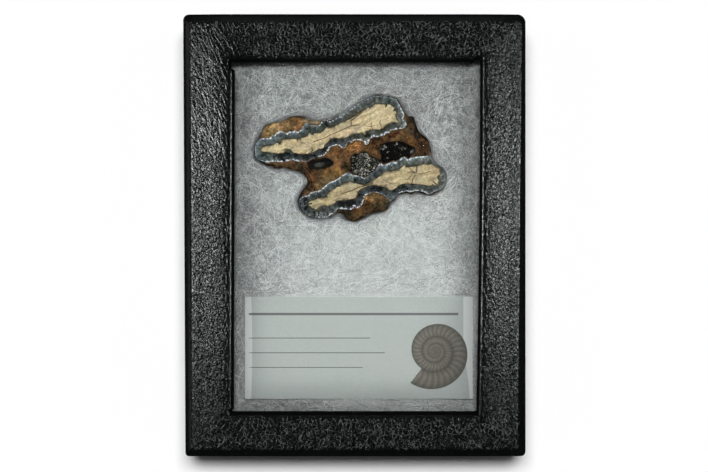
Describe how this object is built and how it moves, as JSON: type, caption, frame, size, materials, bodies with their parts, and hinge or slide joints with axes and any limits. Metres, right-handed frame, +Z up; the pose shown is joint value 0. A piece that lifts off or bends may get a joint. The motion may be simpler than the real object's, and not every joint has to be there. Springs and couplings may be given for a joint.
{
  "type": "mammoth molar slice in a display case",
  "caption": "Polished cross-section of a mammoth molar on fibre batting in a shallow black specimen case with a glass window, a paper label and a lid that lifts off.",
  "frame": {"origin": "middle of the case's underside", "axes": "+Z up through the glass, +Y along the case towards the end that holds the slice, +X across it"},
  "size_m": [0.0838, 0.108, 0.019],
  "materials": {
    "leatherette": "black embossed leatherette paper over board, semi-gloss grain",
    "glass": "clear polished pane",
    "tray_board": "black paper over board, matte",
    "batting": "loose white polyester fibre, matte",
    "molar": "polished fossil enamel, dentine and cement",
    "label_paper": "grey-green paper, smooth",
    "pin_steel": "bright wire"
  },
  "bodies": {
    "root": {"lid": "leatherette", "glass": "glass", "tray": "tray_board", "batting": "batting", "molar_slice": "molar", "label": "label_paper", "pin_left": "pin_steel", "pin_right": "pin_steel"}
  },
  "joints": []
}
